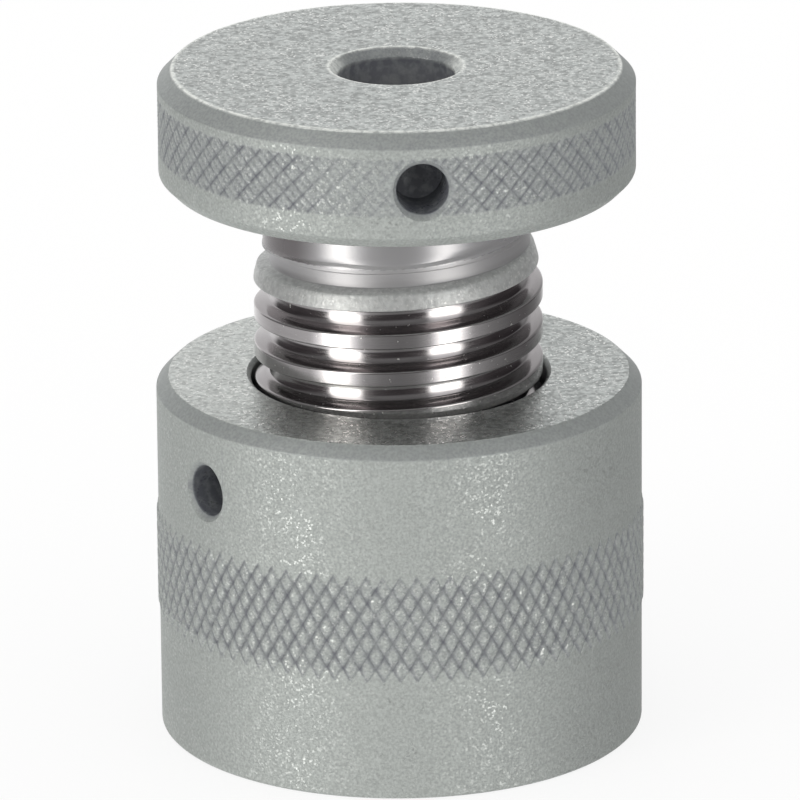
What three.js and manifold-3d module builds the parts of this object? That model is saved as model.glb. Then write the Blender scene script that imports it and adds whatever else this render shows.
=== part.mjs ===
// Height-adjustable screw support (machinist's screw jack).
// A knurled base with a trapezoidal thread carries a one-piece spindle whose flat round head takes
// the load. A washer and a retaining ring at the lower end of the spindle stop it from being
// screwed out. Units are millimetres, +Z is up, and the origin is the middle of the resting face.
// The front of the object faces -Y, and azimuths are counted from the front towards +X.

import * as THREE from "three";
import { mergeVertices } from "three/addons/utils/BufferGeometryUtils.js";
import Module from "manifold-3d";

// ---------------------------------------------------------------- driving dimensions

// How far the spindle is screwed up from its lowest position, and the gap that is left between
// the head and the base when it is down.
const LIFT = 20.4;
const SEAT_GAP = 0.3;

// Base
const BASE_RADIUS = 25;
const BASE_HEIGHT = 37.7;
const BASE_TOP_CHAMFER = 1.25;
const BASE_FOOT_CHAMFER = 0.3;
const BASE_KNURL_Z = [12.6, 24.1];
const BASE_KNURL_RISE = 0.15;
const NECK_BORE_RADIUS = 15.25;
const NECK_BORE_CHAMFER = 0.4;
const NECK_BORE_FLOOR = 30.3;
const COUNTERBORE_RADIUS = 16.9;
const COUNTERBORE_DEPTH = 24.7;
const COUNTERBORE_CHAMFER = 1;

// Where the underside of the head stands, and the head itself, heights counted from it
const HEAD_UNDERSIDE_Z = BASE_HEIGHT + SEAT_GAP + LIFT;
const HEAD_RADIUS = 24.4;
const HEAD_THICKNESS = 12;
const HEAD_TOP_CHAMFER = 1.5;
const HEAD_FOOT_CHAMFER = 1.2;
const SEAT_BORE_RADIUS = 6;
const SEAT_BORE_CHAMFER = 0.85;
const SEAT_BORE_DEPTH = 14;
const DRILL_POINT_SLOPE = 0.6;

// Trapezoidal thread, right-handed, one start
const PITCH = 4;
const SCREW_RADIUS = 14.85;
const THREAD_DEPTH = 1.85;
const CREST_WIDTH = 1.5;
const FLANK_SLOPE = Math.tan(THREE.MathUtils.degToRad(15));
const THREAD_GAP = 0.35;

// Where the grooves of the screw and of the nut start, and where the nut's ends, in turns from
// the front of the screw's last groove. Both run past the ends of their threads.
const SCREW_GROOVE_START = -7.5;
const NUT_GROOVE_TURNS = [-8, -5];

// Neck above the thread, and journal below it, as drops from the underside of the head
const NECK_RADIUS = 13.85;
const NECK_DROP = 6.4;
const TAPER_DROP = 10.2;
const LAST_GROOVE_DROP = 6.8;
const RUNOUT_TURNS = [0, 0.4];
const THREAD_END_DROP = 33.7;
const THREAD_LEAD = 1;
const JOURNAL_RADIUS = 12.5;
const JOURNAL_CHAMFER = 0.3;
const SPINDLE_END_DROP = 37.7;
const RING_GROOVE_RADIUS = 11.3;
const RING_GROOVE_DROP = [35.3, 36.9];

// End stop
const WASHER_THICKNESS = 1.3;
const WASHER_OUTER_RADIUS = 16.4;
const WASHER_EDGE = 0.2;
const PART_GAP = 0.3;
const RING_THICKNESS = 1;
const RING_INNER_RADIUS = 11.6;
const RING_OUTER_RADIUS = 13.9;
const RING_HALF_GAP = THREE.MathUtils.degToRad(7);
const LUG_RADIUS = 1.5;
const LUG_CENTRE_RADIUS = 14.1;
const LUG_HOLE_RADIUS = 0.6;

// Radial holes for the tommy bar: a pair in the base and a pair in the head
const TOMMY_RADIUS = 2.6;
const TOMMY_DEPTH = 6;
const TOMMY_CHAMFER = 0.6;
const BASE_TOMMY = { z: 29.9, azimuths: [-52.9, 127.1] };
const HEAD_TOMMY = { z: 6.2, azimuths: [6, 186] };

// Facets
const ROUND_SEGMENTS = 48;
const THREAD_SEGMENTS = 24;
const HOLE_SEGMENTS = 16;
const CUT_MARGIN = 1;

// ---------------------------------------------------------------- solids and cuts

const wasm = await Module();
wasm.setup();

function toSolid(geometry) {
  const bare = geometry.clone();
  bare.deleteAttribute("normal");
  bare.deleteAttribute("uv");
  const merged = mergeVertices(bare, 1e-4);
  return new wasm.Manifold(
    new wasm.Mesh({
      numProp: 3,
      vertProperties: new Float32Array(merged.attributes.position.array),
      triVerts: new Uint32Array(merged.index.array),
    }),
  );
}

function toGeometry(solid) {
  const mesh = solid.getMesh();
  const geometry = new THREE.BufferGeometry();
  geometry.setAttribute("position", new THREE.BufferAttribute(mesh.vertProperties, 3));
  geometry.setIndex(new THREE.BufferAttribute(mesh.triVerts, 1));
  geometry.computeVertexNormals();
  return geometry;
}

// A solid of revolution about Z from [radius, z] points that run up the outside.
function turned(outline, segments = ROUND_SEGMENTS) {
  const points = outline.map(([radius, z]) => new THREE.Vector2(radius, z));
  const geometry = new THREE.LatheGeometry(points, segments);
  return geometry.rotateX(Math.PI / 2);
}

// A closed ring of revolution: the outline returns to its first point.
function turnedRing(outline, segments = ROUND_SEGMENTS) {
  return turned([...outline, outline[0]], segments);
}

// A convex [radius, z] section swept up a right-handed helix, between two places given in turns.
// At turn 0 it is at the front, with its own z = 0 at zAtFront. retreat(turns) moves it outwards.
function helixSweep(section, [startTurns, endTurns], zAtFront, retreat = () => 0) {
  const steps = Math.round((endTurns - startTurns) * THREAD_SEGMENTS);
  const count = section.length;
  const positions = [];
  for (let step = 0; step <= steps; step++) {
    const turns = startTurns + step / THREAD_SEGMENTS;
    const azimuth = turns * 2 * Math.PI;
    for (const [radius, z] of section) {
      const reach = radius + retreat(turns);
      positions.push(
        reach * Math.sin(azimuth),
        -reach * Math.cos(azimuth),
        z + zAtFront + turns * PITCH,
      );
    }
  }
  const indices = [];
  for (let step = 0; step < steps; step++) {
    for (let i = 0; i < count; i++) {
      const here = step * count + i;
      const next = step * count + ((i + 1) % count);
      indices.push(here, here + count, next);
      indices.push(next, here + count, next + count);
    }
  }
  const last = steps * count;
  for (let i = 1; i < count - 1; i++) {
    indices.push(0, i, i + 1);
    indices.push(last, last + i + 1, last + i);
  }
  const geometry = new THREE.BufferGeometry();
  geometry.setAttribute("position", new THREE.Float32BufferAttribute(positions, 3));
  geometry.setIndex(indices);
  return geometry;
}

// The drill that makes a radial hole: chamfered mouth, straight wall and a conical bottom.
function tommyDrill(surfaceRadius, z, azimuthDegrees) {
  const drill = turned(
    [
      [0, -TOMMY_DEPTH - TOMMY_RADIUS * DRILL_POINT_SLOPE],
      [TOMMY_RADIUS, -TOMMY_DEPTH],
      [TOMMY_RADIUS, -TOMMY_CHAMFER],
      [TOMMY_RADIUS + TOMMY_CHAMFER + CUT_MARGIN, CUT_MARGIN],
      [0, CUT_MARGIN],
    ],
    HOLE_SEGMENTS,
  );
  drill.translate(0, 0, surfaceRadius);
  drill.rotateX(Math.PI / 2);
  drill.rotateZ(THREE.MathUtils.degToRad(azimuthDegrees));
  drill.translate(0, 0, z);
  return toSolid(drill);
}

function withTommyHoles(solid, surfaceRadius, holes) {
  let drilled = solid;
  for (const azimuth of holes.azimuths) {
    drilled = drilled.subtract(tommyDrill(surfaceRadius, holes.z, azimuth));
  }
  return drilled;
}

// ---------------------------------------------------------------- thread sections

const ROOT_RADIUS = SCREW_RADIUS - THREAD_DEPTH;
const GROOVE_WIDTH_AT_CREST = PITCH - CREST_WIDTH;

// Half the width of the screw's ridge at a radius, and of the groove beside it.
function ridgeHalfWidth(radius) {
  return CREST_WIDTH / 2 + (SCREW_RADIUS - radius) * FLANK_SLOPE;
}

function grooveHalfWidth(radius) {
  return GROOVE_WIDTH_AT_CREST / 2 - (SCREW_RADIUS - radius) * FLANK_SLOPE;
}

function trapezium(innerRadius, outerRadius, halfWidth, extra) {
  const inner = halfWidth(innerRadius) + extra;
  const outer = halfWidth(outerRadius) + extra;
  return [
    [innerRadius, -inner],
    [outerRadius, -outer],
    [outerRadius, outer],
    [innerRadius, inner],
  ];
}

// ---------------------------------------------------------------- pieces

function makeBase() {
  const knurlRadius = BASE_RADIUS + BASE_KNURL_RISE;
  const [knurlLow, knurlHigh] = BASE_KNURL_Z;
  const nutRadius = ROOT_RADIUS + THREAD_GAP;
  const blank = toSolid(
    turnedRing([
      [COUNTERBORE_RADIUS + COUNTERBORE_CHAMFER, 0],
      [BASE_RADIUS - BASE_FOOT_CHAMFER, 0],
      [BASE_RADIUS, BASE_FOOT_CHAMFER],
      [BASE_RADIUS, knurlLow],
      [knurlRadius, knurlLow + BASE_KNURL_RISE],
      [knurlRadius, knurlHigh - BASE_KNURL_RISE],
      [BASE_RADIUS, knurlHigh],
      [BASE_RADIUS, BASE_HEIGHT - BASE_TOP_CHAMFER],
      [BASE_RADIUS - BASE_TOP_CHAMFER, BASE_HEIGHT],
      [NECK_BORE_RADIUS + NECK_BORE_CHAMFER, BASE_HEIGHT],
      [NECK_BORE_RADIUS, BASE_HEIGHT - NECK_BORE_CHAMFER],
      [NECK_BORE_RADIUS, NECK_BORE_FLOOR],
      [nutRadius, NECK_BORE_FLOOR],
      [nutRadius, COUNTERBORE_DEPTH],
      [COUNTERBORE_RADIUS, COUNTERBORE_DEPTH],
      [COUNTERBORE_RADIUS, COUNTERBORE_CHAMFER],
    ]),
  );
  const grooveSection = trapezium(
    nutRadius - CUT_MARGIN / 2,
    SCREW_RADIUS + THREAD_GAP,
    ridgeHalfWidth,
    THREAD_GAP,
  );
  const grooveFront = HEAD_UNDERSIDE_Z - LAST_GROOVE_DROP + PITCH / 2;
  const groove = helixSweep(grooveSection, NUT_GROOVE_TURNS, grooveFront);
  const threadZone = toSolid(
    turned([
      [0, COUNTERBORE_DEPTH - CUT_MARGIN],
      [COUNTERBORE_RADIUS - CUT_MARGIN / 2, COUNTERBORE_DEPTH - CUT_MARGIN],
      [COUNTERBORE_RADIUS - CUT_MARGIN / 2, NECK_BORE_FLOOR + CUT_MARGIN],
      [0, NECK_BORE_FLOOR + CUT_MARGIN],
    ]),
  );
  const threaded = blank.subtract(toSolid(groove).intersect(threadZone));
  return withTommyHoles(threaded, BASE_RADIUS, BASE_TOMMY);
}

// Heights in the spindle's own frame are counted from the underside of its head.
function makeSpindle() {
  const [ringGrooveTop, ringGrooveFoot] = RING_GROOVE_DROP;
  const seatBoreFloor = HEAD_THICKNESS - SEAT_BORE_DEPTH;
  const blank = toSolid(
    turned([
      [0, -SPINDLE_END_DROP],
      [JOURNAL_RADIUS - JOURNAL_CHAMFER, -SPINDLE_END_DROP],
      [JOURNAL_RADIUS, -SPINDLE_END_DROP + JOURNAL_CHAMFER],
      [JOURNAL_RADIUS, -ringGrooveFoot],
      [RING_GROOVE_RADIUS, -ringGrooveFoot],
      [RING_GROOVE_RADIUS, -ringGrooveTop],
      [JOURNAL_RADIUS, -ringGrooveTop],
      [JOURNAL_RADIUS, -THREAD_END_DROP],
      [SCREW_RADIUS - THREAD_LEAD, -THREAD_END_DROP],
      [SCREW_RADIUS, -THREAD_END_DROP + THREAD_LEAD],
      [SCREW_RADIUS, -TAPER_DROP],
      [NECK_RADIUS, -NECK_DROP],
      [NECK_RADIUS, 0],
      [HEAD_RADIUS - HEAD_FOOT_CHAMFER, 0],
      [HEAD_RADIUS, HEAD_FOOT_CHAMFER],
      [HEAD_RADIUS, HEAD_THICKNESS - HEAD_TOP_CHAMFER],
      [HEAD_RADIUS - HEAD_TOP_CHAMFER, HEAD_THICKNESS],
      [SEAT_BORE_RADIUS + SEAT_BORE_CHAMFER, HEAD_THICKNESS],
      [SEAT_BORE_RADIUS, HEAD_THICKNESS - SEAT_BORE_CHAMFER],
      [SEAT_BORE_RADIUS, seatBoreFloor],
      [0, seatBoreFloor - SEAT_BORE_RADIUS * DRILL_POINT_SLOPE],
    ]),
  );
  // The groove climbs out of the neck over the last part of a turn.
  const [runoutStart, runoutEnd] = RUNOUT_TURNS;
  const retreat = (turns) => {
    const share = Math.max(0, (turns - runoutStart) / (runoutEnd - runoutStart));
    return share * (NECK_RADIUS - ROOT_RADIUS);
  };
  const groove = helixSweep(
    trapezium(ROOT_RADIUS, SCREW_RADIUS + CUT_MARGIN, grooveHalfWidth, 0),
    [SCREW_GROOVE_START, runoutEnd],
    -LAST_GROOVE_DROP,
    retreat,
  );
  const threaded = blank.subtract(toSolid(groove));
  return withTommyHoles(threaded, HEAD_RADIUS, HEAD_TOMMY);
}

function makeWasher() {
  const bore = JOURNAL_RADIUS + PART_GAP;
  return toSolid(
    turnedRing([
      [bore, 0],
      [WASHER_OUTER_RADIUS - WASHER_EDGE, 0],
      [WASHER_OUTER_RADIUS, WASHER_EDGE],
      [WASHER_OUTER_RADIUS, WASHER_THICKNESS - WASHER_EDGE],
      [WASHER_OUTER_RADIUS - WASHER_EDGE, WASHER_THICKNESS],
      [bore, WASHER_THICKNESS],
    ]),
  );
}

function plate(shape, curveSegments) {
  const settings = { depth: RING_THICKNESS, bevelEnabled: false, curveSegments };
  return toSolid(new THREE.ExtrudeGeometry(shape, settings));
}

// An open ring with two pierced lugs, its gap facing the back.
function makeRetainingRing() {
  const middle = Math.PI / 2;
  const start = middle + RING_HALF_GAP;
  const end = middle - RING_HALF_GAP + 2 * Math.PI;
  const arc = new THREE.Shape();
  arc.absarc(0, 0, RING_OUTER_RADIUS, start, end, false);
  arc.absarc(0, 0, RING_INNER_RADIUS, end, start, true);
  let ring = plate(arc, ROUND_SEGMENTS / 2);
  for (const side of [-1, 1]) {
    const angle = middle + side * (RING_HALF_GAP + LUG_RADIUS / LUG_CENTRE_RADIUS);
    const x = LUG_CENTRE_RADIUS * Math.cos(angle);
    const y = LUG_CENTRE_RADIUS * Math.sin(angle);
    const lug = new THREE.Shape();
    lug.absarc(x, y, LUG_RADIUS, 0, 2 * Math.PI, false);
    const hole = new THREE.Shape();
    hole.absarc(x, y, LUG_HOLE_RADIUS, 0, 2 * Math.PI, false);
    ring = ring.add(plate(lug, HOLE_SEGMENTS));
    const punch = new THREE.ExtrudeGeometry(hole, {
      depth: RING_THICKNESS + 2 * CUT_MARGIN,
      bevelEnabled: false,
      curveSegments: HOLE_SEGMENTS / 2,
    });
    ring = ring.subtract(toSolid(punch.translate(0, 0, -CUT_MARGIN)));
  }
  return ring;
}

// ---------------------------------------------------------------- materials and assembly

const blastedSteel = new THREE.MeshStandardMaterial({
  color: 0x9da19e,
  roughness: 0.55,
  metalness: 1,
});
const spindleSteel = new THREE.MeshStandardMaterial({
  color: 0xa6a7a4,
  roughness: 0.4,
  metalness: 1,
});
const washerSteel = new THREE.MeshStandardMaterial({
  color: 0xb4b2ac,
  roughness: 0.35,
  metalness: 1,
});
const springSteel = new THREE.MeshStandardMaterial({
  color: 0x3a3836,
  roughness: 0.45,
  metalness: 1,
});

function piece(name, solid, material) {
  const mesh = new THREE.Mesh(toGeometry(solid), material);
  mesh.name = name;
  return mesh;
}

const base = piece("base_body", makeBase(), blastedSteel);

// The moving stack hangs from the underside of the head.
const lifted = new THREE.Group();
lifted.position.z = HEAD_UNDERSIDE_Z;

const spindle = piece("spindle", makeSpindle(), spindleSteel);
const washer = piece("stop_washer", makeWasher(), washerSteel);
washer.position.z = -THREAD_END_DROP - PART_GAP - WASHER_THICKNESS;
const ring = piece("retaining_ring", makeRetainingRing(), springSteel);
ring.position.z = -RING_GROOVE_DROP[0] - PART_GAP - RING_THICKNESS;
lifted.add(spindle, washer, ring);

const screwJack = new THREE.Group();
screwJack.name = "screw_jack";
screwJack.add(base, lifted);

export default screwJack;
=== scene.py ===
import math

import bpy
import numpy as np
from mathutils import Matrix, Vector


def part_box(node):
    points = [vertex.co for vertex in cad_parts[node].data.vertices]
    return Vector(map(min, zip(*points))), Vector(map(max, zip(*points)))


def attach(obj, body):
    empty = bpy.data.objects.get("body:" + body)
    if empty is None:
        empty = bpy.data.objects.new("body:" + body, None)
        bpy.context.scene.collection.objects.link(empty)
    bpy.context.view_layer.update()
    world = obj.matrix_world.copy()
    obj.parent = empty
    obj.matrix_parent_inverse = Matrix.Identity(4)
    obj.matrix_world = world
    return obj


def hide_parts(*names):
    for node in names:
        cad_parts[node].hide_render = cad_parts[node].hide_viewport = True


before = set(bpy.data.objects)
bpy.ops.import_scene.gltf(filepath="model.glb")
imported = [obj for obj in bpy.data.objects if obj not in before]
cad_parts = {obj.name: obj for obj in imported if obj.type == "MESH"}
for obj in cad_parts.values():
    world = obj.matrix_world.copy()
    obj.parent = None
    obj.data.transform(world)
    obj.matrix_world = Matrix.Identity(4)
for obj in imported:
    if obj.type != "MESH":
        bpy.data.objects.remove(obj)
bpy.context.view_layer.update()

# Lengths are in millimetres, and meshes are scaled to metres when they are made. Azimuths are
# counted from the front, -Y, towards +X.
MM = 0.001
TURN = 2 * math.pi

# ---- sizes taken from the frame


def node_box(node):
    low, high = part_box(node)
    return low / MM, high / MM


BASE_BOX = node_box("base_body")
SPINDLE_BOX = node_box("spindle")
WASHER_BOX = node_box("stop_washer")
RING_BOX = node_box("retaining_ring")

BASE_KNURL_RISE = 0.15
BASE_RADIUS = BASE_BOX[1].x - BASE_KNURL_RISE
BASE_TOP = BASE_BOX[1].z
HEAD_RADIUS = SPINDLE_BOX[1].x
HEAD_TOP = SPINDLE_BOX[1].z
SPINDLE_END = SPINDLE_BOX[0].z

# ---- driving dimensions

BASE_TOP_CHAMFER = 1.25
BASE_FOOT_CHAMFER = 0.3
NECK_BORE_RADIUS = 15.25
NECK_BORE_CHAMFER = 0.4
NECK_BORE_FLOOR = 30.3
COUNTERBORE_RADIUS = 16.9
COUNTERBORE_TOP = 24.7
COUNTERBORE_CHAMFER = 1

HEAD_THICKNESS = 12
HEAD_UNDERSIDE = HEAD_TOP - HEAD_THICKNESS
HEAD_TOP_CHAMFER = 1.5
HEAD_FACE_RADIUS = HEAD_RADIUS - HEAD_TOP_CHAMFER
HEAD_FOOT_CHAMFER = 1.2
SEAT_BORE_RADIUS = 6
SEAT_BORE_CHAMFER = 0.85
SEAT_BORE_RIM = SEAT_BORE_RADIUS + SEAT_BORE_CHAMFER
SEAT_BORE_DEPTH = 14
DRILL_POINT_SLOPE = 0.6

# Trapezoidal thread. Middles of the screw's crests at the front are whole pitches from FRONT_CREST.
PITCH = 4
SCREW_RADIUS = 14.85
ROOT_RADIUS = 13
CREST_WIDTH = 1.5
FLANK_SLOPE = math.tan(math.radians(15))
THREAD_GAP = 0.35
FRONT_CREST = HEAD_UNDERSIDE - 8.8
EDGE_BLEND = 0.5

NECK_RADIUS = 13.85
NECK_END = HEAD_UNDERSIDE - 6.4
TAPER_END = HEAD_UNDERSIDE - 10.2
THREAD_END = HEAD_UNDERSIDE - 33.7
THREAD_LEAD = 1
JOURNAL_RADIUS = 12.5
JOURNAL_CHAMFER = 0.3
WASHER_GAP = 0.3
RING_GROOVE_RADIUS = 11.3
RING_GROOVE = (HEAD_UNDERSIDE - 36.9, HEAD_UNDERSIDE - 35.3)
RING_RADII = (11.6, 13.9)
RING_HALF_GAP_ANGLE = math.radians(7)
LUG_RADIUS = 1.5
LUG_CENTRE_RADIUS = 14.1
LUG_HOLE_RADIUS = 0.6

# Tommy bar holes, with azimuths in degrees
TOMMY_RADIUS = 2.6
TOMMY_DEPTH = 6
TOMMY_CHAMFER = 0.6
BASE_TOMMY_Z = 29.9
BASE_TOMMY_AZIMUTHS = (-52.9, 127.1)
HEAD_TOMMY_Z = HEAD_UNDERSIDE + 6.2
HEAD_TOMMY_AZIMUTHS = (6, 186)

# How far corners are rounded
FINE_CORNER = 0.1
WALL_CORNER = 0.12
POCKET_CORNER = 0.15
SOFT_CORNER = 0.2
NECK_CORNER = 0.3
# Width of the bright burr along an edge. Points in rows this far from the edge keep it narrow.
BURR = 0.2

# Points round the axis, and across a diamond
BORE_COLUMNS = 160
THREAD_COLUMNS = 192
HOLE_COLUMNS = 48
WASHER_COLUMNS = 96
RING_COLUMNS = 144
CELL_STEPS = 8


def knurled_band(low, count, rows, pitch):
    """A band of diamonds from the height low: how many there are round it and one above the
    other, and the height of one along the axis."""
    columns = count * CELL_STEPS
    top = low + rows * pitch
    return {"low": low, "top": top, "count": count, "rows": rows, "pitch": pitch, "columns": columns}


BASE_KNURL = knurled_band(low=12.57, count=92, rows=4, pitch=2.88)
HEAD_KNURL = knurled_band(low=61.5, count=71, rows=3, pitch=2.26)

# A diamond of the base rises from its grooves by these shares of its height, at distances in
# shares of its width: slowly from the rising groove and quickly from the falling one.
SLOW_RISE = ((0, 0), (0.13, 0.4), (0.25, 0.85), (0.38, 1))
QUICK_RISE = ((0, 0.15), (0.13, 0.75), (0.25, 1))
DIAMOND_HEIGHT = 0.19
# The rising grooves have a fine score along the bottom.
SCORE_HALF_WIDTH = 0.01
SCORE_DEPTH = 0.05

# The grooves of the head: half their width in shares of a diamond, the depths of the rising and
# the falling ones, and the height over which they run out at the ends of the band
GROOVE_HALF_WIDTH = 0.2
GROOVE_DEPTHS = (0.13, 0.1)
GROOVE_RUNOUT = 0.6
# The tool's second track is this deep, as a share of the first, where it is faint and where it is
# strong. From one to the other it changes over these azimuths in degrees.
FAINT_TRACK = 0.3
STRONG_TRACK = 0.9
TRACKS_SWAP = (-12, 12)
TRACKS_SWAP_BACK = (150, 178)
# In front the grooves are worn down to a share of their depth. They have all of it WORN_SPREAD
# degrees from the middle of the worn place, and the least within the share WORN_CORE of that.
WORN_SHARE = 0.5
WORN_AZIMUTH = -8
WORN_SPREAD = 20
WORN_CORE = 0.2


# ---- mesh building


def azimuths_round(columns):
    return np.arange(columns) * TURN / columns - math.pi


def neighbours(ring):
    """Each point of a closed ring with the next one."""
    return zip(ring, ring[1:] + ring[:1])


class Skin:
    """The skin of one solid, gathered ring by ring in the order of its outline: outwards along
    the foot, up the outside, inwards over the top and down the bore."""

    def __init__(self):
        self.points = []
        self.faces = []

    def ring(self, radius, z, columns):
        """Points round the axis. Radius and z are numbers, or have a value for each column."""
        azimuth = azimuths_round(columns)
        radius = np.broadcast_to(radius, columns)
        z = np.broadcast_to(z, columns)
        first = len(self.points)
        self.points.extend(zip(radius * np.sin(azimuth), -radius * np.cos(azimuth), z))
        return list(range(first, first + columns))

    def pole(self, z):
        self.points.append((0, 0, z))
        return [len(self.points) - 1]

    def join(self, one, two):
        """Faces between two rings, of which either may be a pole or have fewer points."""
        if len(one) == len(two):
            for (a, b), (d, c) in zip(neighbours(one), neighbours(two)):
                self.faces.append((a, b, c, d))
            return
        if len(one) == 1:
            self.faces.extend((one[0], b, a) for a, b in neighbours(two))
            return
        if len(two) == 1:
            self.faces.extend((a, b, two[0]) for a, b in neighbours(one))
            return
        i = j = 0
        while i < len(one) or j < len(two):
            here, there = one[i % len(one)], two[j % len(two)]
            behind = (i + 1) * len(two) <= (j + 1) * len(one)
            if i < len(one) and (behind or j == len(two)):
                i += 1
                self.faces.append((here, one[i % len(one)], there))
            else:
                j += 1
                self.faces.append((here, two[j % len(two)], there))

    def turn(self, outline, columns, start=None):
        """Rings through the outline's (radius, z) points, joined to start. Returns the last."""
        for radius, z in outline:
            ring = self.pole(z) if radius == 0 else self.ring(radius, z, columns)
            if start is not None:
                self.join(start, ring)
            start = ring
        return start

    def band(self, start, knurl, field):
        """A knurled band with field(azimuth, z) as its radius, split along its grooves."""
        columns = knurl["columns"]
        azimuth = azimuths_round(columns)
        previous = None
        for step in range(knurl["rows"] * CELL_STEPS + 1):
            z = knurl["low"] + step * knurl["pitch"] / CELL_STEPS
            ring = self.ring(field(azimuth, np.full(columns, z)), z, columns)
            if previous is None:
                self.join(start, ring)
                previous = ring
                continue
            for i, ((a, b), (d, c)) in enumerate(zip(neighbours(previous), neighbours(ring))):
                rising = (i + 0.5) / CELL_STEPS - (step - 0.5) / CELL_STEPS
                falling = (i + 0.5) / CELL_STEPS + (step - 0.5) / CELL_STEPS
                if abs(rising - round(rising)) > abs(falling - round(falling)):
                    self.faces.extend([(a, b, d), (b, c, d)])
                else:
                    self.faces.extend([(a, b, c), (a, c, d)])
            previous = ring
        return previous

    def thread(self, field, low, high, columns, rows, inside=False):
        """A wall whose rows climb with the thread and end on level rings. field(azimuth, z) is its
        radius, and rows are heights at the front. Returns the two end rings."""
        known = {}
        numbers = []
        # The last column is the first one again, where the rows have climbed by one pitch.
        for column in range(columns + 1):
            azimuth = column * TURN / columns - math.pi
            heights = np.clip(np.array(rows) + PITCH * azimuth / TURN, low, high)
            radii = field(np.full(len(heights), azimuth), heights)
            line = []
            for radius, z in zip(radii, heights):
                key = (column % columns, round(float(z), 5))
                if key not in known:
                    known[key] = len(self.points)
                    place = (radius * math.sin(azimuth), -radius * math.cos(azimuth), z)
                    self.points.append(tuple(float(c) for c in place))
                line.append(known[key])
            numbers.append(line)
        for left, right in zip(numbers, numbers[1:]):
            for k in range(len(rows) - 1):
                corners = [left[k], right[k], right[k + 1], left[k + 1]]
                if inside:
                    corners.reverse()
                face = [c for i, c in enumerate(corners) if c != corners[i - 1]]
                if len(set(face)) == len(face) and len(face) > 2:
                    self.faces.append(tuple(face))
        return [line[0] for line in numbers[:-1]], [line[-1] for line in numbers[:-1]]

    def mesh(self, name):
        mesh = bpy.data.meshes.new(name)
        mesh.from_pydata([tuple(c * MM for c in p) for p in self.points], [], self.faces)
        mesh.validate()
        mesh.update()
        return mesh


def add_object(name, data):
    item = bpy.data.objects.new(name, data)
    bpy.context.scene.collection.objects.link(item)
    return item


ARC_STEPS = 3


def rounded(outline, radius):
    """The outline with each inner corner replaced by an arc of about this radius. Its first and
    last points lie on the straight stretches next to it and stay."""
    points = [Vector(p) for p in outline]
    result = [tuple(points[0])]
    for before, corner, after in zip(points, points[1:], points[2:]):
        back, ahead = (before - corner), (after - corner)
        if abs(back.normalized().cross(ahead.normalized())) < 1e-4:
            result.append(tuple(corner))
            continue
        reach = min(radius, back.length * 0.45, ahead.length * 0.45)
        start = corner + back.normalized() * reach
        end = corner + ahead.normalized() * reach
        for step in range(ARC_STEPS + 1):
            t = step / ARC_STEPS
            point = (1 - t) ** 2 * start + 2 * t * (1 - t) * corner + t**2 * end
            result.append(tuple(point))
    result.append(tuple(points[-1]))
    return result


def smooth_min(a, b, width):
    """The lesser of a and b, with their crossing rounded over this width."""
    h = np.clip(0.5 + 0.5 * (b - a) / width, 0, 1)
    return b * (1 - h) + a * h - width * h * (1 - h)


def smooth_max(a, b, width):
    return -smooth_min(-a, -b, width)


def fade(x, start, end):
    """0 at start and 1 at end, with level ends."""
    t = np.clip((x - start) / (end - start), 0, 1)
    return t * t * (3 - 2 * t)


# ---- radii of threads and knurls

# Rows of the thread's mesh within a pitch, from the middle of a crest: close together where an
# edge is rounded and where the neck is stepped.
EDGE_ROWS = (-0.13, -0.065, 0, 0.065, 0.13)
NECK_ROWS = (2.25, 2.9, 3.02, 3.45, 3.8)


def thread_rows(low, high, edges, extra=()):
    """Heights at the front from low to high, with rows close together along the edges."""
    half = {0, PITCH / 2} | {edge + row for edge in edges for row in EDGE_ROWS}
    offsets = sorted(half | {PITCH - offset for offset in half if offset > 0} | set(extra))
    first_turn = math.floor((low - FRONT_CREST) / PITCH) - 1
    last_turn = math.ceil((high - FRONT_CREST) / PITCH) + 1
    turns = range(first_turn, last_turn + 1)
    return [FRONT_CREST + turn * PITCH + offset for turn in turns for offset in offsets]


CREST_EDGE = CREST_WIDTH / 2
ROOT_EDGE = CREST_EDGE + (SCREW_RADIUS - ROOT_RADIUS) * FLANK_SLOPE
NUT_RADIUS = ROOT_RADIUS + THREAD_GAP
NUT_GROOVE_RADIUS = SCREW_RADIUS + THREAD_GAP
NUT_EDGES = (CREST_EDGE + THREAD_GAP, ROOT_EDGE + THREAD_GAP)

# The last groove leaves the neck over this stretch, in turns past the front. All roots lean: they
# are deeper along their upper side.
LAST_GROOVE = FRONT_CREST + PITCH / 2
RUNOUT = (0.05, 0.42)
ROOT_TILT = 0.28
ROOT_TILT_REACH = 0.75
# The upper edge of the last groove is sharper than the other edges, by this share.
SHARPER = 0.8
SHARPER_OVER = (-0.3, 0.3)
# Above it the neck is turned down a little: the edge's height at some azimuths in degrees, and
# where the step comes and goes.
STEP_EDGE = ((-90, 51.9), (-49, 52.9), (-27, 53.4), (0, 53.4), (17, 53.7), (42, 54.4), (90, 55.6))
STEP_DEPTH = 0.4
STEP_HEIGHT = 0.6
STEP_COMES = (-85, -50)
STEP_GOES = (95, 150)
STEP_CLEARS_CREST = (-0.3, 0.9)


def blank_radius(z):
    """The turned spindle before its thread is cut."""
    heights = [THREAD_END, THREAD_END + THREAD_LEAD, TAPER_END, NECK_END]
    radii = [SCREW_RADIUS - THREAD_LEAD, SCREW_RADIUS, SCREW_RADIUS, NECK_RADIUS]
    return np.interp(z, heights, radii)


def groove_radius(distance, root):
    """A groove with its root at this radius, by the distance from its middle along the axis."""
    flank = root + (np.abs(distance) - (PITCH / 2 - ROOT_EDGE)) / FLANK_SLOPE
    return smooth_max(root, flank, EDGE_BLEND)


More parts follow.
